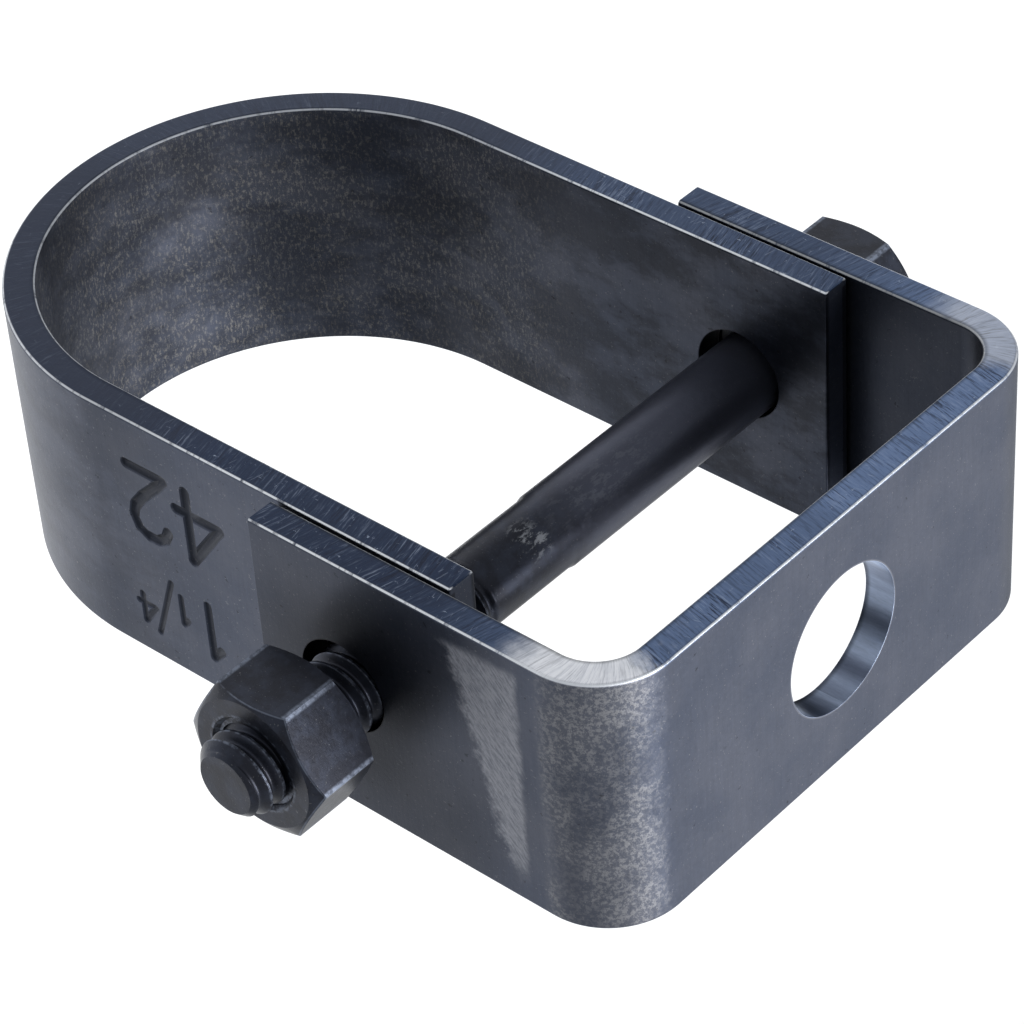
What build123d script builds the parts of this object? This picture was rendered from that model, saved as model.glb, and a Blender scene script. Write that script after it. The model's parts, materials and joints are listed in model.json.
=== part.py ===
from build123d import *

import os

# Clevis pipe hanger for a 1 1/4 in pipe, in millimetres.
#
# Two bars of 25.4 mm strip steel are folded into U shapes and joined by one cross bolt.
# The upper yoke hangs from a threaded rod through the hole in its flat top.
# The lower strap hangs inside the yoke's legs, swings on the bolt and cradles the pipe.
#
# Frame: +Z runs up the hanger rod, X along the pipe and Y along the cross bolt, nut side +Y.
# The origin is the centre of the rod hole at the yoke's top face.

# Strip steel
STRIP_WIDTH = 25.4
STRIP_THICKNESS = 2.85
EDGE_ROUND = 0.3
RIM_ROUND = 0.2

# Upper yoke
YOKE_OUTSIDE = 56.0
YOKE_BEND_RADIUS = 7.0
YOKE_LEG_LENGTH = 36.6
ROD_HOLE_DIAMETER = 13.4

# Cross bolt line, measured down from the yoke's top face
BOLT_LINE_Z = -27.9
BOLT_HOLE_DIAMETER = 8.6

# Lower strap
PIPE_SEAT_RADIUS = 22.0
PIPE_CENTRE_BELOW_BOLT = 30.0
STRAP_END_ABOVE_BOLT = 9.5

# Cross bolt: 5/16 in hex machine bolt
SHANK_DIAMETER = 7.2
BOLT_LENGTH = 75.5
BOLT_END_CHAMFER = 0.9
BOLT_TIP_Y = 41.4
HEX_ACROSS_FLATS = 12.4
HEAD_HEIGHT = 5.3
HEX_CHAMFER_SLOPE = 0.577
CHAMFER_FACE_SHARE = 0.95

# Hex nut, run part of the way on
NUT_HEIGHT = 6.75
NUT_OUTER_FACE_Y = 38.35
NUT_BORE_DIAMETER = 7.3
NUT_COUNTERSINK = 0.6

# The shank lies against one side of its clearance holes, a hair off the metal
REST_CLEARANCE = 0.05
BOLT_LINE_X = -((BOLT_HOLE_DIAMETER - SHANK_DIAMETER) / 2 - REST_CLEARANCE)


def fold_strip(outer_face: Wire, inward: Side) -> Part:
    """A flat bar of the strip steel folded along the line of its outer face."""
    with BuildPart() as bar:
        with BuildSketch(Plane.YZ):
            with BuildLine():
                add(outer_face)
                offset(amount=STRIP_THICKNESS, side=inward)
            make_face()
        extrude(amount=STRIP_WIDTH / 2, both=True)
        sides = bar.edges().group_by(Axis.X)
        fillet(sides[0] + sides[-1], radius=EDGE_ROUND)
    return bar.part


def yoke_path() -> Wire:
    """The yoke's outer face: up one leg, over the flat top and down the other."""
    half = YOKE_OUTSIDE / 2
    foot = (half, -YOKE_LEG_LENGTH)
    with BuildLine() as line:
        FilletPolyline(foot, (half, 0), (-half, 0), (-half, -YOKE_LEG_LENGTH), radius=YOKE_BEND_RADIUS)
    return line.wire()


def strap_path() -> Wire:
    """The lower strap's outer face: down one leg, round under the pipe and up the other."""
    half = PIPE_SEAT_RADIUS + STRIP_THICKNESS
    centre_z = BOLT_LINE_Z - PIPE_CENTRE_BELOW_BOLT
    top_z = BOLT_LINE_Z + STRAP_END_ABOVE_BOLT
    with BuildLine() as line:
        Line((-half, top_z), (-half, centre_z))
        CenterArc((0, centre_z), half, 180, 180)
        Line((half, centre_z), (half, top_z))
    return line.wire()


def punch(bar: Part, axis: Axis, diameter: float) -> Part:
    """A hole punched through the bar along an axis, its rims lightly rounded."""
    tool = extrude(Plane(axis.position, z_dir=axis.direction) * Circle(diameter / 2), amount=60, both=True)
    bar -= tool
    rims = bar.edges().filter_by(GeomType.CIRCLE).filter_by(lambda rim: abs(rim.radius - diameter / 2) < 0.01)
    return fillet(rims, RIM_ROUND)


def bolt_line_at(x: float) -> Axis:
    """The line of the cross bolt, at a given distance across the strip."""
    return Axis((x, 0, BOLT_LINE_Z), (0, 1, 0))


def make_yoke() -> Part:
    """Upper yoke: a square U with the rod hole in its top and a bolt hole in each leg."""
    bar = fold_strip(yoke_path(), Side.LEFT)
    bar = punch(bar, Axis((0, 0, 0), (0, 0, 1)), ROD_HOLE_DIAMETER)
    return punch(bar, bolt_line_at(0), BOLT_HOLE_DIAMETER)


def make_strap() -> Part:
    """Lower strap: a round-bottomed U with a bolt hole in each leg."""
    bar = fold_strip(strap_path(), Side.LEFT)
    return punch(bar, bolt_line_at(0), BOLT_HOLE_DIAMETER)


def make_hexagon(height: float) -> Part:
    """A hexagonal prism rising along Z, with corners on X."""
    return extrude(RegularPolygon(HEX_ACROSS_FLATS / 2, 6, major_radius=False), amount=height)


def chamfer_cone(top_z: float, pointing: int) -> Part:
    """The cone that takes the corners off one end of a hexagon, its wide end inward."""
    face = HEX_ACROSS_FLATS / 2 * CHAMFER_FACE_SHARE
    depth = 12
    cone = Cone(face + depth / HEX_CHAMFER_SLOPE, face, depth, align=(Align.CENTER, Align.CENTER, Align.MAX))
    if pointing < 0:
        cone = Rot(180, 0, 0) * cone
    return Pos(0, 0, top_z) * cone


def turn_to_bolt_line(part: Part, y: float) -> Part:
    """Stand a part built on Z on the bolt line, its base at y and its top towards +Y."""
    return Pos(BOLT_LINE_X, y, BOLT_LINE_Z) * Rot(-90, 0, 0) * Rot(0, 0, 90) * part


def make_bolt() -> Part:
    """Cross bolt: a chamfered hexagon head on a plain shank with a bevelled end."""
    head = make_hexagon(HEAD_HEIGHT) & chamfer_cone(0, -1)
    shank = Cylinder(SHANK_DIAMETER / 2, BOLT_LENGTH, align=(Align.CENTER, Align.CENTER, Align.MIN))
    shank = chamfer(shank.edges().filter_by(GeomType.CIRCLE).sort_by(Axis.Z)[-1], BOLT_END_CHAMFER)
    bolt = head + Pos(0, 0, HEAD_HEIGHT) * shank
    return turn_to_bolt_line(bolt, BOLT_TIP_Y - BOLT_LENGTH - HEAD_HEIGHT)


def make_nut() -> Part:
    """Hex nut: chamfered at both ends, its bore countersunk at both mouths."""
    nut = make_hexagon(NUT_HEIGHT) & chamfer_cone(NUT_HEIGHT, 1) & chamfer_cone(0, -1)
    nut -= Cylinder(NUT_BORE_DIAMETER / 2, NUT_HEIGHT, align=(Align.CENTER, Align.CENTER, Align.MIN))
    circles = nut.edges().filter_by(GeomType.CIRCLE)
    mouths = circles.filter_by(lambda rim: abs(rim.radius - NUT_BORE_DIAMETER / 2) < 0.01)
    nut = chamfer(mouths, NUT_COUNTERSINK)
    return turn_to_bolt_line(nut, NUT_OUTER_FACE_Y - NUT_HEIGHT)


def main() -> None:
    """Write one STEP file for each physical piece."""
    os.makedirs("parts", exist_ok=True)
    export_step(make_yoke(), "parts/upper_yoke.step")
    export_step(make_strap(), "parts/lower_strap.step")
    export_step(make_bolt(), "parts/cross_bolt.step")
    export_step(make_nut(), "parts/hex_nut.step")


main()
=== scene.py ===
import json
import math

import bmesh
import bpy
from mathutils import Matrix, Vector


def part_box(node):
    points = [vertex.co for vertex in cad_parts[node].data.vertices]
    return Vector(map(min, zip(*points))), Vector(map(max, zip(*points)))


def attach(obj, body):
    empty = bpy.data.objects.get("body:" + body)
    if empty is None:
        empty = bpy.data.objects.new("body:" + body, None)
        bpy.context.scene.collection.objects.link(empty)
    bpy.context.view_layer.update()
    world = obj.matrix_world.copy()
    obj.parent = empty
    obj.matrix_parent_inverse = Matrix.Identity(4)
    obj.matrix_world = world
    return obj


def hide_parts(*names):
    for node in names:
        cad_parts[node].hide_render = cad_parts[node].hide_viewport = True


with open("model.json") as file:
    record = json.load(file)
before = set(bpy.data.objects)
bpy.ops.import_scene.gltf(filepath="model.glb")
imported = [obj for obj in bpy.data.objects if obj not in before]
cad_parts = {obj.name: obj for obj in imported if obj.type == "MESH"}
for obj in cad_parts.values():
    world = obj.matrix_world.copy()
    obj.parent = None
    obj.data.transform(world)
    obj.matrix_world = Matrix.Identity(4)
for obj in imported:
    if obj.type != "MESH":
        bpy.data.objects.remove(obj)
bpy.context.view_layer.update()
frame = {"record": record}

MM = 0.001

# ---------------------------------------------------------------- sizes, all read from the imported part

yoke_low, yoke_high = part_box("upper_yoke")
strap_low, strap_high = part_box("lower_strap")
bolt_low, bolt_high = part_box("cross_bolt")
nut_low, nut_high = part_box("hex_nut")
mounts = {mount["name"]: mount for mount in frame["record"]["mounts"]}
joints = {joint["name"]: joint for joint in frame["record"]["behaviour"]["joints"]}

ROD_HOLE_RADIUS = mounts["rod_hole"]["dims"]["r_mm"] * MM
SEAT_RADIUS = mounts["pipe_seat"]["dims"]["r_mm"] * MM
SEAT_Z = mounts["pipe_seat"]["pos_m"][2]
BOLT_X, _, BOLT_Z = joints["strap_swing"]["pos_m"]

STRIP_HALF_WIDTH = yoke_high[0]
YOKE_HALF = yoke_high[1]
STRAP_HALF = strap_high[1]
STRIP_THICKNESS = STRAP_HALF - SEAT_RADIUS
HEX_HALF_FLATS = (nut_high[0] - nut_low[0]) / 2
HEX_HALF_CORNERS = HEX_HALF_FLATS * 2 / math.sqrt(3)

# ---------------------------------------------------------------- the makers' sizes of strip, bolt and nut

YOKE_BEND_RADIUS = 7.0 * MM
BOLT_HOLE_RADIUS = 4.3 * MM
EDGE_ROUND = 0.3 * MM
STRIP_EASE = 0.16 * MM
HARDWARE_EASE = 0.13 * MM
HEAD_HEIGHT = 5.3 * MM
CHAMFER_SLOPE = 0.577
CHAMFER_FACE_SHARE = 0.95
SHANK_RADIUS = 3.60 * MM
SHOULDER_Y = 3.2 * MM
SHOULDER_TAPER = 0.5 * MM
NECK_RADIUS = 3.46 * MM
THREAD_PITCH = 25.4 / 18 * MM
THREAD_Y = 13.2 * MM
THREAD_RUN_IN = 2.2 * MM
CREST = 3.60 * MM
ROOT = 2.90 * MM
POINT = 0.95 * MM
NUT_THREAD_GAP = 0.11 * MM
NUT_MOUTH_RADIUS = 4.3 * MM
NUT_WALL_RADIUS = 3.85 * MM
NUT_SLEEVE_RADIUS = 3.95 * MM
NUT_SLEEVE_INSET = 0.42 * MM
COUNTERSINK_SLOPE = 1.2
THREAD_COLUMNS = 72


# ---------------------------------------------------------------- shader maths

class Val:
    """A number that varies over a surface, wrapped so that it can be used in plain arithmetic."""

    def __init__(self, finish, socket):
        self.finish = finish
        self.socket = socket

    def math(self, operation, *others, clamp=False):
        settings = {"operation": operation, "use_clamp": clamp}
        return self.finish.add("ShaderNodeMath", settings, [self, *others])

    def __add__(self, other):
        return self.math("ADD", other)

    def __radd__(self, other):
        return self + other

    def __sub__(self, other):
        return self.math("SUBTRACT", other)

    def __rsub__(self, other):
        return self * -1 + other

    def __mul__(self, other):
        return self.math("MULTIPLY", other)

    def __rmul__(self, other):
        return self * other

    def __neg__(self):
        return self * -1

    def size(self):
        """The number without its sign."""
        return self.math("ABSOLUTE")

    def at_least(self, other):
        return self.math("MAXIMUM", other)

    def at_most(self, other):
        return self.math("MINIMUM", other)

    def root(self):
        return self.at_least(0).math("SQRT")

    def angle_from(self, other):
        """The angle whose rise is this and whose run is the other."""
        return self.math("ARCTAN2", other)

    def held(self):
        """The number held between 0 and 1."""
        return self.math("ADD", 0, clamp=True)

    def rises(self, start, end):
        """0 below start and 1 above end, with a soft change between."""
        return self.finish.add(
            "ShaderNodeMapRange", {"interpolation_type": "SMOOTHSTEP"},
            {"Value": self, "From Min": start, "From Max": end},
        )

    def falls(self, start, end):
        return 1 - self.rises(start, end)

    def within(self, low, high, soft):
        """1 between low and high, fading out over the soft margin at each."""
        return self.rises(low - soft, low + soft) * self.falls(high - soft, high + soft)


class Finish:
    """One procedural finish, built up on a single metal shader."""

    def __init__(self, name):
        self.material = bpy.data.materials.new(name)
        self.material.use_nodes = True
        self.nodes = self.material.node_tree.nodes
        self.links = self.material.node_tree.links
        self.shader = self.nodes["Principled BSDF"]
        place = self.add("ShaderNodeTexCoord", {}, {}, output="Object")
        self.place = self.shade(place, 1 / MM)
        self.x, self.y, self.z = self.parts(self.place)

    def add(self, kind, settings, inputs, output=0):
        node = self.nodes.new(kind)
        for key, value in settings.items():
            setattr(node, key, value)
        pairs = inputs.items() if isinstance(inputs, dict) else enumerate(inputs)
        for key, value in pairs:
            self.feed(node.inputs[key], value)
        return Val(self, node.outputs[output])

    def feed(self, socket, value):
        if isinstance(value, Val):
            self.links.new(value.socket, socket)
        else:
            socket.default_value = value

    def parts(self, vector):
        split = self.add("ShaderNodeSeparateXYZ", {}, [vector])
        outputs = split.socket.node.outputs
        return [Val(self, outputs[axis]) for axis in "XYZ"]

    def point(self, x, y, z):
        return self.add("ShaderNodeCombineXYZ", {}, [x, y, z])

    def noise(self, where, scale, detail=3.0, roughness=0.55):
        return self.add(
            "ShaderNodeTexNoise", {"noise_dimensions": "3D"},
            {"Vector": where, "Scale": scale, "Detail": detail, "Roughness": roughness},
        )

    def tint(self, amount, first, second):
        """The first colour carried toward the second by an amount from 0 to 1."""
        mix = self.add("ShaderNodeMix", {"data_type": "RGBA"}, {})
        node = mix.socket.node
        self.feed(node.inputs[0], amount)
        self.feed(node.inputs[6], first)
        self.feed(node.inputs[7], second)
        return Val(self, node.outputs[2])

    def shade(self, colour, amount):
        """A colour, or a point, scaled by a number that may vary over the surface."""
        settings = {"operation": "SCALE"}
        return self.add("ShaderNodeVectorMath", settings, {"Vector": colour, "Scale": amount})

    def bump(self, height, strength, distance_mm):
        return self.add(
            "ShaderNodeBump", {},
            {"Height": height, "Strength": strength, "Distance": distance_mm * MM},
        )

    def finish(self, colour, roughness, metallic, normal=None):
        self.feed(self.shader.inputs["Base Color"], colour)
        self.feed(self.shader.inputs["Roughness"], roughness)
        self.feed(self.shader.inputs["Metallic"], metallic)
        if normal is not None:
            self.feed(self.shader.inputs["Normal"], normal)
        return self.material


# ---------------------------------------------------------------- finishes

SCALE_BLUE = (0.074, 0.087, 0.126, 1)
SCALE_GREY = (0.100, 0.111, 0.149, 1)
WORN_GREY = (0.36, 0.37, 0.41, 1)
FLECK_GREY = (0.37, 0.37, 0.385, 1)
FLECK_TAN = (0.40, 0.385, 0.36, 1)
SHEARED_LIT_BLUE = (0.19, 0.275, 0.47, 1)
SHEARED_SHADED_NAVY = (0.026, 0.040, 0.080, 1)
SHEARED_PALE = (0.50, 0.58, 0.74, 1)
EDGE_DARK = (0.018, 0.023, 0.043, 1)
ROUND_EDGE_BLUE = (0.030, 0.037, 0.060, 1)
HOLE_SHADE = (0.10, 0.12, 0.18, 1)
HOLE_BLUE = (0.62, 0.74, 0.98, 1)
BURNISHED = (0.92, 0.93, 0.97, 1)
BARE_STEEL = (0.90, 0.93, 0.98, 1)
BOLT_BLACK = (0.023, 0.025, 0.035, 1)
BOLT_BLUE = (0.040, 0.047, 0.070, 1)
BOLT_WORN_AND_HIGHLIGHT = (0.20, 0.23, 0.30, 1)
SHANK_BLUE = (0.095, 0.102, 0.14, 1)
SHANK_WIPED = (0.42, 0.44, 0.48, 1)
CHIP_GREY = (0.16, 0.165, 0.175, 1)
DUST_GREY = (0.22, 0.22, 0.225, 1)
TORN_BLACK = (0.010, 0.011, 0.017, 1)
STEEL_METALLIC = 0.92
OXIDE_METALLIC = 0.75


def rolled_scale(f, along, across):
    """Dark blue-grey mill scale: slow clouding, fine rolling lines, pale specks and dark pits."""
    sheet = f.point(along, across, 0.0)
    cloud = f.noise(sheet, 0.10, 5.0, 0.6)
    grain = f.noise(f.place, 2.2, 5.0, 0.72)
    lines = f.noise(f.point(along * 3.4, across * 0.16, 0.0), 1.0, 3.0, 0.6)
    specks = f.noise(f.place, 3.4, 2.0, 0.85).rises(0.655, 0.70)
    pits = f.noise(f.place, 1.3, 3.0, 0.6).falls(0.28, 0.32)
    colour = f.tint(cloud.rises(0.36, 0.66), SCALE_BLUE, SCALE_GREY)
    colour = f.shade(colour, 0.66 + grain * 0.38 + lines * 0.26)
    colour = f.tint(specks * 0.4, colour, FLECK_GREY)
    colour = f.tint(pits * 0.55, colour, TORN_BLACK)
    return colour, grain, lines


def sheared_edge(f, along, across, lit, worn):
    """The strip's sheared sides: navy in painted shade to blue in painted light, fine marks across it,
    pale where it has rubbed.
    """
    marks = f.noise(f.point(along * 4.6 + across * 1.1, across * 0.3, 0.0), 1.0, 3.0, 0.75)
    bands = f.noise(f.point(along * 0.16, 0.0, 7.0), 1.0, 3.0)
    rubbed = f.noise(f.point(along * 0.9, across * 1.3, 3.0), 1.0, 5.0, 0.8)
    few = f.noise(f.point(along * 3.6 - across * 0.9, across * 0.3, 5.0), 1.0, 2.0, 0.9)
    # painted light: the lit share carries the sides from the shaded navy to the lit blue
    steel = f.tint(lit, SHEARED_SHADED_NAVY, SHEARED_LIT_BLUE)
    steel = f.shade(steel, 0.72 + bands * 0.5)
    crowded = bands.rises(0.44, 0.60)
    steel = f.tint(marks.falls(0.38, 0.50) * (0.35 + crowded * 0.55), steel, EDGE_DARK)
    steel = f.tint(marks.rises(0.54, 0.68) * (0.08 + crowded * 0.26), steel, SHEARED_PALE)
    steel = f.tint(few.rises(0.66, 0.70) * 0.2, steel, SHEARED_PALE)
    steel = f.tint(rubbed.rises(0.62, 0.68) * worn, steel, SHEARED_PALE)
    return steel, marks


def burr(f, along, to_side, faces):
    """The thin bright line where a side meets a face, broken here and there."""
    gaps = f.noise(f.point(along * 0.5, 0.0, 0.0), 1.0, 5.0, 0.75).rises(0.36, 0.50)
    return to_side.within(0.03, 0.15, 0.02) * faces * (0.10 + gaps * 0.90)


def strip_faces(f, depth):
    """How far in a point lies from the strip's side, and how much it is on each kind of face."""
    thick = STRIP_THICKNESS / MM
    to_side = STRIP_HALF_WIDTH / MM - f.x.size()
    outer = depth.falls(0.15, 0.6)
    inner = depth.rises(thick - 0.6, thick - 0.15)
    return to_side, outer, inner, to_side.falls(0.10, 0.24)


def reach_from_bolt(f):
    """How far a point lies from the middle line of the legs' bolt holes."""
    dz = f.z - BOLT_Z / MM
    return (f.x * f.x + dz * dz).root()


def in_bolt_hole(reach):
    """1 on the wall of a bolt hole."""
    wall = BOLT_HOLE_RADIUS / MM
    return reach.falls(wall + 0.03, wall + 0.12)


def fold_measures(f):
    """Along the yoke's strip, how far it has turned round a fold, how far down a leg, and its depth."""
    flat = (YOKE_HALF - YOKE_BEND_RADIUS) / MM
    fold = YOKE_BEND_RADIUS / MM
    past_flat = (f.y.size() - flat).at_least(0)
    above_leg = (f.z + fold).at_least(0)
    turn = past_flat.angle_from(above_leg)
    depth = fold - (past_flat * past_flat + above_leg * above_leg).root()
    down_leg = (-f.z - fold).at_least(0)
    along = f.y.size().at_most(flat) + turn * (fold - STRIP_THICKNESS / MM / 2) + down_leg
    return along * f.y.math("SIGN"), turn, down_leg, depth


def brushed_scuff(f):
    """One brushed patch on the nut side's leg: where it lies, and its scratches running aslant."""
    aslant = f.point(f.x * 0.45 - f.z * 0.75, f.x * 2.6 + f.z * 2.9, 0.0)
    scratches = f.noise(aslant, 1.0, 5.0, 0.78)
    ragged = f.noise(f.place, 0.6, 5.0, 0.72) * 4.4 - 2.2
    low_side = (f.z + ragged + (f.x - 1.4) * 0.26).rises(-14.6, -13.0)
    high_side = (f.z + ragged * 0.22).falls(-9.7, -8.9)
    ends = (f.x + ragged * 0.8).rises(-11.5, -7.0) * (f.x + ragged * 0.3).falls(10.3, 11.6)
    return low_side * high_side * ends * f.y.rises(26, 27), scratches


def rod_hole_finish(f, colour):
    """The rod hole's wall: smooth and blue, scored along its length, darker at its lower rim."""
    from_rod = (f.x * f.x + f.y * f.y).root()
    radius = ROD_HOLE_RADIUS / MM
    around = f.y.angle_from(f.x)
    drag = f.noise(f.point(around * 9, f.z * 0.2, 0.0), 1.0, 5.0, 0.78)
    sweep = f.noise(f.point(around * 0.9, 0.0, 2.0), 1.0, 2.0).rises(0.36, 0.62)
    wall = f.shade(f.tint(sweep, HOLE_SHADE, HOLE_BLUE), 0.45 + drag)
    wall = f.tint((f.z + drag * 0.4).falls(-2.75, -2.6) * 0.6, wall, TORN_BLACK)
    inside = from_rod.falls(radius + 0.02, radius + 0.07) * f.z.rises(-3.4, -3.1)
    colour = f.tint(inside, colour, wall)
    rim = from_rod.within(radius + 0.03, radius + 0.16, 0.03) * f.z.rises(-0.5, -0.3)
    return f.tint(rim * 0.30, colour, WORN_GREY)


def yoke_steel():
    """Finish of the upper yoke, worn bright over its folded corners."""
    f = Finish("yoke_mill_scale")
    along, turn, down_leg, depth = fold_measures(f)
    colour, grain, lines = rolled_scale(f, along, f.x)
    to_side, outer, inner, on_edge = strip_faces(f, depth)
    nut_side = f.y.rises(-2, 2)

    # the nut side's folded corner, its scale broken into fine grey flecks
    fine = f.noise(f.place, 2.4, 5.0, 0.8)
    patchy = f.noise(f.place, 0.16, 3.0, 0.6).rises(0.36, 0.56)
    drift = f.noise(f.place, 0.5, 4.0, 0.7) - 0.5
    fade = (turn + drift * 0.8).within(0.28, 1.62, 0.22) * down_leg.falls(-0.4, 0.9)
    rub = fade * outer * (0.30 + patchy * 0.70) * (0.12 + nut_side * 0.88)
    flecks = rub * (0.22 + fine.rises(0.46, 0.57) * 0.62)
    colour = f.tint(flecks, colour, FLECK_GREY)

    patch, scratches = brushed_scuff(f)
    scuff = patch * outer
    colour = f.tint(scuff * (0.34 + scratches.rises(0.36, 0.60) * 0.58), colour, WORN_GREY)

    # painted shade round the bolt holes, where the shadow and dark reflection of the head and nut fall,
    # and lower down the nut side's leg toward its -X edge
    from_bolt = reach_from_bolt(f)
    painted_shade_round_bolt = from_bolt.falls(4.5, 13.0) * 0.34 + from_bolt.falls(12, 26) * 0.32
    painted_shade_round_bolt = painted_shade_round_bolt + f.x.falls(-9, 1) * nut_side * down_leg.rises(2, 10) * 0.22
    colour = f.shade(colour, 1 - painted_shade_round_bolt * (1 - scuff * 0.9) * f.y.size().rises(26, 27.5))

    # the sides of the strip, silvery round the folds
    crown = (turn + drift * 0.5).rises(0.03, 0.45) * (down_leg + drift * 3).falls(0.3, 5.0)
    crown = crown * on_edge * f.x.rises(0, 5)
    # painted light on the sides of the strip: lit more higher up, and more on the far side from the nut
    lit = (f.z - nut_side * 3).rises(-24, -4) * 0.62 + (1 - nut_side) * 0.22
    steel, marks = sheared_edge(f, along, depth, lit, 0.5)
    colour = f.tint(on_edge, colour, steel)
    silver = marks.rises(0.30, 0.60) * 0.35 + 0.6
    colour = f.tint(crown * silver * (0.45 + nut_side * 0.55), colour, BURNISHED)
    colour = f.tint(burr(f, along, to_side, (outer + inner).held()), colour, BARE_STEEL)

    colour = rod_hole_finish(f, colour)
    colour = f.shade(colour, 1 - in_bolt_hole(from_bolt) * 0.6)
    # painted shade over the inner faces, inside the U
    colour = f.shade(colour, 1 - inner * 0.58)

    roughness = 0.31 + grain * 0.14 + scuff * 0.16 + rub * 0.20 - crown * 0.06 + on_edge * 0.06
    height = grain * 0.5 + lines * 0.2 + marks * on_edge * 0.8
    height = height + scratches * scuff * 0.8 + fine * rub * 1.2
    return f.finish(colour, roughness, STEEL_METALLIC, f.bump(height, 0.30, 0.10))


def strap_steel():
    """Finish of the lower strap: darker outside the round, mottled grey and tan within it."""
    f = Finish("strap_mill_scale")
    drop = (f.z - SEAT_Z / MM).at_most(0)
    climb = (f.z - SEAT_Z / MM).at_least(0)
    depth = STRAP_HALF / MM - (f.y * f.y + drop * drop).root()
    middle = (STRAP_HALF + SEAT_RADIUS) / 2 / MM
    along = f.y.angle_from(-drop) * middle + climb * f.y.math("SIGN")
    colour, grain, lines = rolled_scale(f, along, f.x)
    to_side, outer, inner, on_edge = strip_faces(f, depth)
    round_part = climb.falls(1, 16)

    # the seat, where the scale has broken into short pale dashes as the bar was bent
    dashes = f.noise(f.point(along * 3.2, f.x * 1.3, 1.0), 1.0, 4.0, 0.8)
    motes = f.noise(f.place, 2.9, 4.0, 0.82)
    drifts = f.noise(f.point(along * 0.13, f.x * 0.13, 9.0), 1.0, 4.0, 0.65).rises(0.34, 0.60)
    crazed = inner * round_part * (0.35 + drifts * 0.65)
    pale = (dashes * 0.6 + motes * 0.4).rises(0.50, 0.59)
    colour = f.tint(crazed * (0.05 + pale * 0.58), colour, FLECK_TAN)
    blotches = f.noise(f.point(along * 0.09, f.x * 0.16, 4.0), 1.0, 5.0, 0.7).rises(0.40, 0.60)
    # painted shadow over the inner faces, deeper up the legs and in blotches; the outside of the round is
    # also made darker in blotches
    shadow = inner * (0.26 + blotches * 0.30 + climb.rises(6, 22) * 0.16)
    colour = f.shade(colour, 1 - shadow - outer * round_part * (0.10 + blotches * 0.22))

    # painted light on the sides of the strip: a little lit on the far side from the nut
    steel, marks = sheared_edge(f, along, depth, f.y.falls(-4, 4) * 0.20, 0.6)
    steel = f.tint(round_part * 0.8, steel, ROUND_EDGE_BLUE)
    colour = f.tint(on_edge, colour, steel)
    faces = (outer + inner).held()
    colour = f.tint(burr(f, along, to_side, faces) * (1 - round_part * 0.35), colour, BARE_STEEL)

    # darker in the stamped strokes and on the bolt holes' walls
    sunk = depth.within(0.10, 0.60, 0.06) * to_side.rises(0.5, 0.8)
    colour = f.shade(colour, 1 - sunk * 0.62)
    colour = f.shade(colour, 1 - in_bolt_hole(reach_from_bolt(f)) * 0.6)

    roughness = 0.33 + grain * 0.15 + crazed * 0.24
    height = grain * 0.5 + lines * 0.2 + motes * crazed * 1.2
    height = height + marks * on_edge * (0.9 - round_part * 0.75)
    return f.finish(colour, roughness, STEEL_METALLIC, f.bump(height, 0.30, 0.10))


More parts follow.
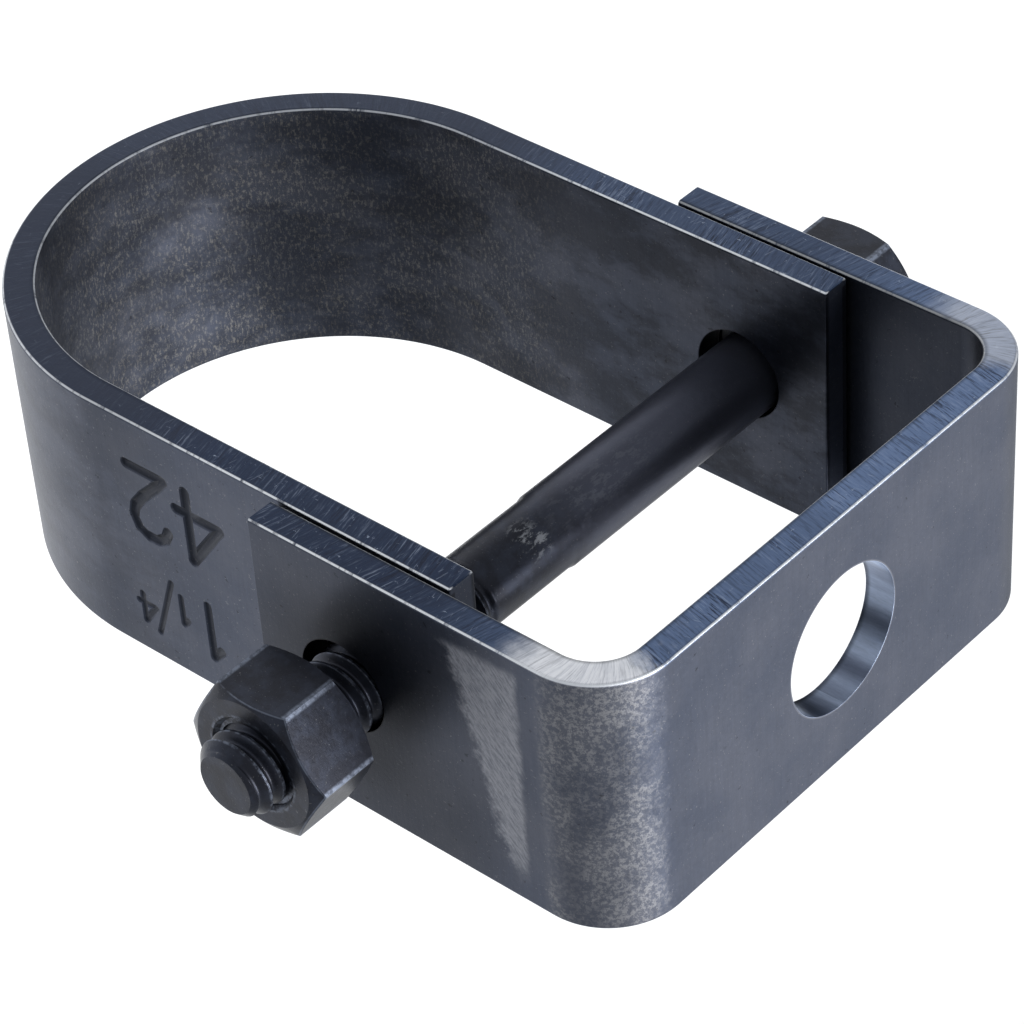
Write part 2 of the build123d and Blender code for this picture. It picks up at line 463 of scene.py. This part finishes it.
def black_oxide(name):
    """Oiled black finish of the bolt and nut, rubbed lighter along corners and thread crests, with painted
    highlight along the corners and the chamfers' edges.
    """
    f = Finish(name)
    dx = f.x - BOLT_X / MM
    dz = f.z - BOLT_Z / MM
    radius = (dx * dx + dz * dz).root()
    grain = f.noise(f.place, 1.8, 5.0, 0.72)
    cloud = f.noise(f.place, 0.45, 4.0, 0.65)
    turned = f.noise(f.point(radius * 3.0, f.y * 0.4, 0.0), 1.0, 3.0, 0.6)
    scratch = f.noise(f.point(f.y * 0.7, dx * 1.7, dz * 1.7), 1.0, 5.0, 0.8)
    colour = f.tint(cloud.rises(0.38, 0.66) * 0.7, BOLT_BLACK, BOLT_BLUE)
    # the hex corners worn lighter in a thin line, which also paints their highlight
    corner = radius.rises(HEX_HALF_CORNERS / MM - 0.22, HEX_HALF_CORNERS / MM - 0.10)
    colour = f.tint(corner * (0.35 + grain.rises(0.40, 0.56) * 0.5), colour, BOLT_WORN_AND_HIGHLIGHT)
    shank = radius.falls(4.4, 4.6)
    colour = f.tint(shank * f.y.falls(-4, 9) * 0.8, colour, SHANK_BLUE)
    # painted highlight: a thin bright line, in patches, where the flats meet the chamfers
    aslant = dx * math.cos(math.radians(60))
    rise = dz * math.sin(math.radians(60))
    across = dx.size().at_least((aslant + rise).size()).at_least((aslant - rise).size())
    painted_chamfer_highlight = across.within(HEX_HALF_FLATS / MM - 0.15, HEX_HALF_FLATS / MM - 0.03, 0.02)
    colour = f.tint(painted_chamfer_highlight * cloud.rises(0.36, 0.56) * 0.55, colour, BOLT_WORN_AND_HIGHLIGHT)
    wiped = (f.y + cloud * 4).within(8.6, 10.2, 0.9) * 0.9 + f.y.within(-8, 4, 4) * 0.12
    rubbed = shank * wiped * dx.rises(1.2, 2.6) * dz.rises(-0.4, 1.0) * scratch.rises(0.50, 0.58)
    colour = f.tint(rubbed * 0.8, colour, SHANK_WIPED)
    crest = shank * radius.rises(3.50, 3.585) * f.y.rises(14, 15) * grain.rises(0.42, 0.62)
    colour = f.tint(crest * 0.55, colour, BOLT_WORN_AND_HIGHLIGHT)
    specks = f.noise(f.place, 4.5, 2.0, 0.85).rises(0.66, 0.71)
    colour = f.tint(specks * 0.4, colour, DUST_GREY)
    chips = f.noise(f.place, 1.1, 3.0, 0.7).rises(0.70, 0.74)
    colour = f.tint(chips * 0.5, colour, CHIP_GREY)
    roughness = 0.26 + grain * 0.18 + rubbed * 0.2
    height = grain * 0.7 + turned * 0.25 + scratch * shank * 0.4
    return f.finish(colour, roughness, OXIDE_METALLIC, f.bump(height, 0.32, 0.08))


# ---------------------------------------------------------------- shapes

def new_object(name, mesh):
    """An object in the scene with the mesh."""
    obj = bpy.data.objects.new(name, mesh)
    bpy.context.scene.collection.objects.link(obj)
    return obj


def mesh_from(name, points, faces):
    """A clean closed mesh, its faces turned outward."""
    mesh = bpy.data.meshes.new(name)
    mesh.from_pydata([tuple(point) for point in points], [], faces)
    shape = bmesh.new()
    shape.from_mesh(mesh)
    bmesh.ops.remove_doubles(shape, verts=shape.verts, dist=1e-7)
    bmesh.ops.dissolve_degenerate(shape, edges=shape.edges, dist=1e-8)
    bmesh.ops.recalc_face_normals(shape, faces=shape.faces)
    shape.to_mesh(mesh)
    shape.free()
    return mesh


def settle(obj):
    """Apply the object's modifiers."""
    graph = bpy.context.evaluated_depsgraph_get()
    mesh = bpy.data.meshes.new_from_object(obj.evaluated_get(graph))
    obj.modifiers.clear()
    obj.data = mesh
    return obj


def cut(obj, tool, operation="DIFFERENCE", crossed=False):
    """Cut a tool out of the object, or keep only what both share. A crossed tool overlaps itself."""
    modifier = obj.modifiers.new("cut", "BOOLEAN")
    modifier.object = tool
    modifier.operation = operation
    modifier.solver = "EXACT"
    modifier.use_self = crossed
    settle(obj)
    bpy.data.objects.remove(tool)
    return obj


def ease_edges(obj, width, angle=40, segments=2):
    """Take the sharpness off every corner of the object."""
    modifier = obj.modifiers.new("ease", "BEVEL")
    modifier.width = width
    modifier.segments = segments
    modifier.limit_method = "ANGLE"
    modifier.angle_limit = math.radians(angle)
    modifier.harden_normals = False
    return settle(obj)


def smooth_faces(obj, sharp_angle=38):
    """Shade the object smooth, keeping its flats flat and its corners crisp."""
    mesh = obj.data
    mesh.polygons.foreach_set("use_smooth", [True] * len(mesh.polygons))
    mesh.set_sharp_from_angle(angle=math.radians(sharp_angle))
    modifier = obj.modifiers.new("flats", "WEIGHTED_NORMAL")
    modifier.keep_sharp = True
    modifier.weight = 60
    return settle(obj)


def turns(steps):
    """Angles evenly round a circle."""
    return [2 * math.pi * step / steps for step in range(steps)]


def about_bolt(turn, radius, y, centre=(BOLT_X, BOLT_Z)):
    """The point at an angle about the bolt's line, measured from straight up."""
    return (centre[0] + radius * math.sin(turn), y, centre[1] + radius * math.cos(turn))


def walls(rows, size, start=0):
    """Faces that join each closed row of points to the next."""
    faces = []
    for row in range(rows - 1):
        for corner in range(size):
            here = start + row * size + corner
            beside = start + row * size + (corner + 1) % size
            faces.append((here, beside, beside + size, here + size))
    return faces


def cap(start, size):
    """One face that closes a row of points."""
    return tuple(range(start, start + size))


def lathe(name, profile, steps=96, centre=(BOLT_X, BOLT_Z)):
    """A solid turned about the bolt's line from (y, radius) pairs, closed flat at both ends."""
    points = [about_bolt(turn, radius, y, centre) for y, radius in profile for turn in turns(steps)]
    faces = walls(len(profile), steps)
    faces += [cap(0, steps), cap((len(profile) - 1) * steps, steps)]
    return mesh_from(name, points, faces)


def section_corners(width_half, thickness, radius, steps=4):
    """The strip's rounded section, as (across, depth) pairs: depth 0 is the outer face."""
    centres = [
        (width_half - radius, radius, -90),
        (width_half - radius, thickness - radius, 0),
        (-width_half + radius, thickness - radius, 90),
        (-width_half + radius, radius, 180),
    ]
    corners = []
    for across, depth, start in centres:
        for step in range(steps + 1):
            turn = math.radians(start + 90 * step / steps)
            corners.append((across + radius * math.cos(turn), depth + radius * math.sin(turn)))
    return corners


def bent_bar(name, stations):
    """A flat bar following stations of its outer face, each (y, z, inward y, inward z)."""
    section = section_corners(STRIP_HALF_WIDTH, STRIP_THICKNESS, EDGE_ROUND)
    size = len(section)
    points = []
    for y, z, in_y, in_z in stations:
        for across, depth in section:
            points.append((across, y + in_y * depth, z + in_z * depth))
    faces = walls(len(stations), size)
    faces += [cap(0, size), cap((len(stations) - 1) * size, size)]
    return new_object(name, mesh_from(name, points, faces))


def straight(start, end, inward, steps):
    """Stations of a straight run of strip."""
    run = []
    for step in range(steps + 1):
        share = step / steps
        y = start[0] + (end[0] - start[0]) * share
        z = start[1] + (end[1] - start[1]) * share
        run.append((y, z, *inward))
    return run


def bend(centre, radius, start, end, steps):
    """Stations of a bend, its angles in degrees from +Y towards +Z."""
    run = []
    for step in range(steps + 1):
        turn = math.radians(start + (end - start) * step / steps)
        out = (math.cos(turn), math.sin(turn))
        run.append((centre[0] + radius * out[0], centre[1] + radius * out[1], -out[0], -out[1]))
    return run


def rod_tool(radius):
    """An upright cylinder through the yoke's top."""
    mesh = bpy.data.meshes.new("rod_tool")
    shape = bmesh.new()
    bmesh.ops.create_cone(
        shape, cap_ends=True, segments=128, radius1=radius, radius2=radius, depth=20 * MM,
    )
    shape.to_mesh(mesh)
    shape.free()
    return new_object("rod_tool", mesh)


def bolt_hole_tool(radius):
    """A cylinder through both legs, on the middle of the strip."""
    reach = YOKE_HALF + 10 * MM
    mesh = lathe("bolt_hole_tool", [(-reach, radius), (reach, radius)], centre=(0, BOLT_Z))
    return new_object("bolt_hole_tool", mesh)


def make_yoke():
    """Upper yoke: a square U of strip with its rod hole and its two bolt holes."""
    flat = YOKE_HALF - YOKE_BEND_RADIUS
    foot = yoke_low[2]
    knee = -YOKE_BEND_RADIUS
    stations = straight((YOKE_HALF, foot), (YOKE_HALF, knee), (-1, 0), 6)
    stations += bend((flat, knee), YOKE_BEND_RADIUS, 0, 90, 40)[1:]
    stations += straight((flat, 0), (-flat, 0), (0, -1), 8)[1:]
    stations += bend((-flat, knee), YOKE_BEND_RADIUS, 90, 180, 40)[1:]
    stations += straight((-YOKE_HALF, knee), (-YOKE_HALF, foot), (1, 0), 6)[1:]
    yoke = bent_bar("yoke", stations)
    cut(yoke, rod_tool(ROD_HOLE_RADIUS))
    cut(yoke, bolt_hole_tool(BOLT_HOLE_RADIUS))
    ease_edges(yoke, STRIP_EASE, 55)
    return smooth_faces(yoke)


# corners of each numeral's one stroke, for a numeral one unit high
ONE = [(0.18, 0.80), (0.36, 1.0), (0.36, 0.0)]
FOUR = [(0.52, 0.0), (0.52, 1.0), (0.02, 0.32), (0.70, 0.32)]
TWO = [(0.06, 0.78), (0.12, 0.90), (0.24, 0.98), (0.40, 0.99), (0.54, 0.91), (0.60, 0.76), (0.56, 0.60)]
TWO += [(0.42, 0.42), (0.20, 0.20), (0.04, 0.02), (0.62, 0.02)]
SLASH = [(0.0, -0.15), (0.45, 1.15)]

# the pipe's size in millimetres, then in inches: each numeral's stroke, the X and Z of its foot,
# its height and its groove's radius, in millimetres
STAMPED = [
    (FOUR, 8.0, -43.6, 7.2, 0.74),
    (TWO, 8.0, -49.6, 7.2, 0.74),
    (ONE, -3.6, -44.4, 5.6, 0.62),
    (ONE, -4.3, -48.6, 2.9, 0.46),
    (SLASH, -4.0, -50.6, 5.0, 0.44),
    (FOUR, -6.3, -52.9, 2.9, 0.46),
]
GROOVE_LIFT = 0.58


def groove(start, end, width):
    """A round-nosed bar that cuts one straight part of a stroke."""
    mesh = bpy.data.meshes.new("groove")
    shape = bmesh.new()
    run = (end - start).length
    bmesh.ops.create_uvsphere(shape, u_segments=16, v_segments=12, radius=width)
    for vert in shape.verts:
        if vert.co.z > 1e-9:
            vert.co.z += run
    shape.to_mesh(mesh)
    shape.free()
    aim = (end - start).to_track_quat("Z", "Y").to_matrix().to_4x4()
    mesh.transform(Matrix.Translation(start) @ aim)
    return new_object("groove", mesh)


def numeral_tool():
    """Grooves of all the numerals on the nut side's leg, which read from the strap's end."""
    bars = []
    for stroke, *sizes in STAMPED:
        foot_x, foot_z, height, weight = [size * MM for size in sizes]
        face = STRAP_HALF + weight * GROOVE_LIFT
        spots = [Vector((foot_x - v * height, face, foot_z - u * height)) for u, v in stroke]
        bars += [groove(start, end, weight) for start, end in zip(spots, spots[1:])]
    return joined("numerals", bars)


def make_strap():
    """Lower strap: a round-bottomed U of strip with its two bolt holes and stamped numerals."""
    top = strap_high[2]
    stations = straight((-STRAP_HALF, top), (-STRAP_HALF, SEAT_Z), (1, 0), 8)
    stations += bend((0, SEAT_Z), STRAP_HALF, 180, 360, 150)[1:]
    stations += straight((STRAP_HALF, SEAT_Z), (STRAP_HALF, top), (-1, 0), 8)[1:]
    strap = bent_bar("strap", stations)
    cut(strap, bolt_hole_tool(BOLT_HOLE_RADIUS))
    ease_edges(strap, STRIP_EASE, 55)
    cut(strap, numeral_tool(), crossed=True)
    return smooth_faces(strap)


# ---------------------------------------------------------------- bolt and nut

def thread_depth(y, turn):
    """0 at the thread's root and 1 on its crest, for a right-hand thread along +Y."""
    phase = ((y - THREAD_Y) / THREAD_PITCH - turn / (2 * math.pi)) % 1.0
    rise = abs(phase - 0.5) * 2
    return min(1.0, max(0.0, (rise - 0.20) / 0.62))


def bolt_radius(y, turn):
    """The thread deepens over its first turns and is pointed at the tip."""
    cutting = min(1.0, max(0.0, (y - THREAD_Y) / THREAD_RUN_IN))
    threaded = ROOT + (CREST - ROOT) * thread_depth(y, turn)
    radius = NECK_RADIUS + (threaded - NECK_RADIUS) * cutting
    past_point = max(0.0, y - (bolt_high[1] - POINT))
    return min(radius, CREST - past_point)


def nut_bore_radius(y, turn):
    """The nut's thread, the same form as the bolt's and a running gap wider."""
    return ROOT + NUT_THREAD_GAP + (CREST - ROOT) * thread_depth(y, turn)


def helical_skin(low, high, radius_at, rows_a_pitch=16):
    """Points and faces of a tube whose rows follow the thread's helix, trimmed square at both ends."""
    step_y = THREAD_PITCH / rows_a_pitch
    rows = int((high - low) / step_y) + 2 * rows_a_pitch + 2
    points = []
    faces = []
    for column, turn in enumerate(turns(THREAD_COLUMNS)):
        for row in range(rows):
            y = low + (row - rows_a_pitch) * step_y + THREAD_PITCH * column / THREAD_COLUMNS
            y = min(max(y, low), high)
            points.append(about_bolt(turn, radius_at(y, turn), y))
    for column in range(THREAD_COLUMNS):
        beside = (column + 1) % THREAD_COLUMNS
        shift = rows_a_pitch if beside == 0 else 0
        for row in range(rows - 1 - shift):
            here = column * rows + row
            there = beside * rows + row + shift
            faces.append((here, there, there + 1, here + 1))
    return points, faces


def joined(name, objects):
    """One object made of several, each left as its own closed shape."""
    whole = bmesh.new()
    for obj in objects:
        whole.from_mesh(obj.data)
        bpy.data.objects.remove(obj)
    mesh = bpy.data.meshes.new(name)
    whole.to_mesh(mesh)
    whole.free()
    return new_object(name, mesh)


def hexagon(name, low, high):
    """A hexagonal prism on the bolt's line with corners straight up and down."""
    radius = HEX_HALF_CORNERS
    return new_object(name, lathe(name, [(low, radius), (high, radius)], steps=6))


def hexagon_blank(low, high, chamfer_low, chamfer_high):
    """The turned blank that takes a hexagon's corners off at one end or both."""
    face = HEX_HALF_FLATS * CHAMFER_FACE_SHARE
    wide = HEX_HALF_CORNERS * 1.1
    drop = (wide - face) * CHAMFER_SLOPE
    profile = [(low, face), (low + drop, wide)] if chamfer_low else [(low - MM, wide)]
    profile += [(high - drop, wide), (high, face)] if chamfer_high else [(high + MM, wide)]
    return new_object("hexagon_blank", lathe("hexagon_blank", profile, steps=144))


def make_bolt():
    """Cross bolt: chamfered head, plain shank, reduced neck and a rolled right-hand thread."""
    tip = bolt_high[1]
    head_low = bolt_low[1]
    head_high = head_low + HEAD_HEIGHT
    head = hexagon("head", head_low, head_high)
    cut(head, hexagon_blank(head_low, head_high, True, False), "INTERSECT")
    ease_edges(head, HARDWARE_EASE, 24)
    inside_head = head_low + MM
    profile = [(inside_head, 0.5 * MM), (inside_head, SHANK_RADIUS), (SHOULDER_Y, SHANK_RADIUS)]
    profile += [(SHOULDER_Y + SHOULDER_TAPER, NECK_RADIUS), (THREAD_Y, NECK_RADIUS)]
    points = [about_bolt(turn, radius, y) for y, radius in profile for turn in turns(THREAD_COLUMNS)]
    faces = walls(len(profile), THREAD_COLUMNS) + [cap(0, THREAD_COLUMNS)]
    start = len(points)
    skin_points, skin_faces = helical_skin(THREAD_Y, tip, bolt_radius)
    points += skin_points
    faces += [tuple(corner + start for corner in face) for face in skin_faces]
    faces.append(cap(len(points), THREAD_COLUMNS))
    points += [about_bolt(turn, bolt_radius(tip, turn), tip) for turn in turns(THREAD_COLUMNS)]
    shank = new_object("shank", mesh_from("shank", points, faces))
    smooth_faces(shank, 34)
    smooth_faces(head, 30)
    return joined("bolt", [head, shank])


def thread_sleeve(low, high):
    """The nut's internal thread: a tube whose outside lies within the nut's metal."""
    points, faces = helical_skin(low, high, nut_bore_radius, rows_a_pitch=12)
    start = len(points)
    for y, inner in ((low, True), (low, False), (high, False), (high, True)):
        for turn in turns(THREAD_COLUMNS):
            radius = nut_bore_radius(y, turn) if inner else NUT_SLEEVE_RADIUS
            points.append(about_bolt(turn, radius, y))
    faces += walls(4, THREAD_COLUMNS, start)
    sleeve = new_object("nut_thread", mesh_from("nut_thread", points, faces))
    return smooth_faces(sleeve, 34)


def make_nut():
    """Hex nut: chamfered both ends, countersunk, its thread in step with the bolt's."""
    low = nut_low[1]
    high = nut_high[1]
    nut = hexagon("nut", low, high)
    cut(nut, hexagon_blank(low, high, True, True), "INTERSECT")
    sink = (NUT_MOUTH_RADIUS - NUT_WALL_RADIUS) * COUNTERSINK_SLOPE
    profile = [(low - MM, NUT_MOUTH_RADIUS), (low, NUT_MOUTH_RADIUS), (low + sink, NUT_WALL_RADIUS)]
    profile += [(high - sink, NUT_WALL_RADIUS), (high, NUT_MOUTH_RADIUS), (high + MM, NUT_MOUTH_RADIUS)]
    cut(nut, new_object("bore_tool", lathe("bore_tool", profile)))
    ease_edges(nut, HARDWARE_EASE, 24)
    smooth_faces(nut, 30)
    return joined("nut", [nut, thread_sleeve(low + NUT_SLEEVE_INSET, high - NUT_SLEEVE_INSET)])


def show(obj, body, node, material):
    """Dress a piece and set it on its body in place of its plain node."""
    obj.data.materials.clear()
    obj.data.materials.append(material)
    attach(obj, body)
    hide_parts(node)


show(make_yoke(), "yoke", "upper_yoke", yoke_steel())
show(make_strap(), "strap", "lower_strap", strap_steel())
show(make_bolt(), "bolt", "cross_bolt", black_oxide("bolt_black_oxide"))
show(make_nut(), "nut", "hex_nut", black_oxide("nut_black_oxide"))


# ---------------------------------------------------------------- floor, light and camera

# the metres below the strap at which the floor lies, and the middle of the pool of light painted on it
FLOOR_DROP = 0.30
PAINTED_POOL_X = -0.42
PAINTED_POOL_Y = -0.37


def make_floor():
    """A wide pale floor well below the hanging piece, with a pool of light painted on it in front of the
    piece.
    """
    mesh = bpy.data.meshes.new("floor")
    reach = 4.0
    level = strap_low[2] - FLOOR_DROP
    corners = [(-reach, -reach), (reach, -reach), (reach, reach), (-reach, reach)]
    mesh.from_pydata([(x, y, level) for x, y in corners], [], [(0, 1, 2, 3)])
    floor = new_object("floor", mesh)
    f = Finish("pale_floor")
    dx = f.x * MM - PAINTED_POOL_X
    dy = f.y * MM - PAINTED_POOL_Y
    away = (dx * dx + dy * dy).root()
    # painted pool of light: the floor near white round its middle, greyer further off
    tone = 0.985 - away.rises(0.62, 1.1) * 0.27 - f.noise(f.place, 0.004, 3.0) * 0.02
    mesh.materials.append(f.finish(f.shade((1.0, 1.0, 1.0), tone), 0.95, 0.0))


def soft_lamp(name, place, aim, size, watts):
    """A square soft lamp, in metres and watts."""
    lamp = bpy.data.lights.new(name, "AREA")
    lamp.shape = "SQUARE"
    lamp.size = size
    lamp.energy = watts
    obj = bpy.data.objects.new(name, lamp)
    bpy.context.scene.collection.objects.link(obj)
    obj.location = place
    obj.rotation_euler = (Vector(aim) - Vector(place)).to_track_quat("-Z", "Y").to_euler()
    obj.visible_camera = False


def studio_air():
    """Dim, slightly cool light from all round."""
    world = bpy.data.worlds.new("studio")
    bpy.context.scene.world = world
    world.use_nodes = True
    background = world.node_tree.nodes["Background"]
    background.inputs["Color"].default_value = (0.94, 0.97, 1.0, 1)
    background.inputs["Strength"].default_value = 0.45


def place_camera():
    """A long lens looking down on the nut's side, rolled so that +X is up."""
    camera = bpy.data.cameras.new("camera")
    camera.sensor_width = 36
    camera.lens = 136.24
    camera.clip_start = 0.01
    obj = bpy.data.objects.new("camera", camera)
    bpy.context.scene.collection.objects.link(obj)
    rightward = Vector((-0.057621, -0.653048, 0.755126))
    upward = Vector((0.771463, -0.509212, -0.381508))
    backward = Vector((0.633666, 0.560566, 0.533142))
    pose = Matrix((rightward, upward, backward)).transposed().to_4x4()
    pose.translation = Vector((0.202506, 0.182881, 0.139066))
    obj.matrix_world = pose
    bpy.context.scene.camera = obj


make_floor()
studio_air()
soft_lamp("front_softbox", place=(-0.60, -0.53, 0.50), aim=(0, 0, 0), size=0.9, watts=1.1)
soft_lamp("top_softbox", place=(-0.20, -0.18, 1.05), aim=(PAINTED_POOL_X, PAINTED_POOL_Y, -0.38), size=0.9, watts=18.0)
place_camera()

bpy.context.scene.view_settings.view_transform = "Standard"
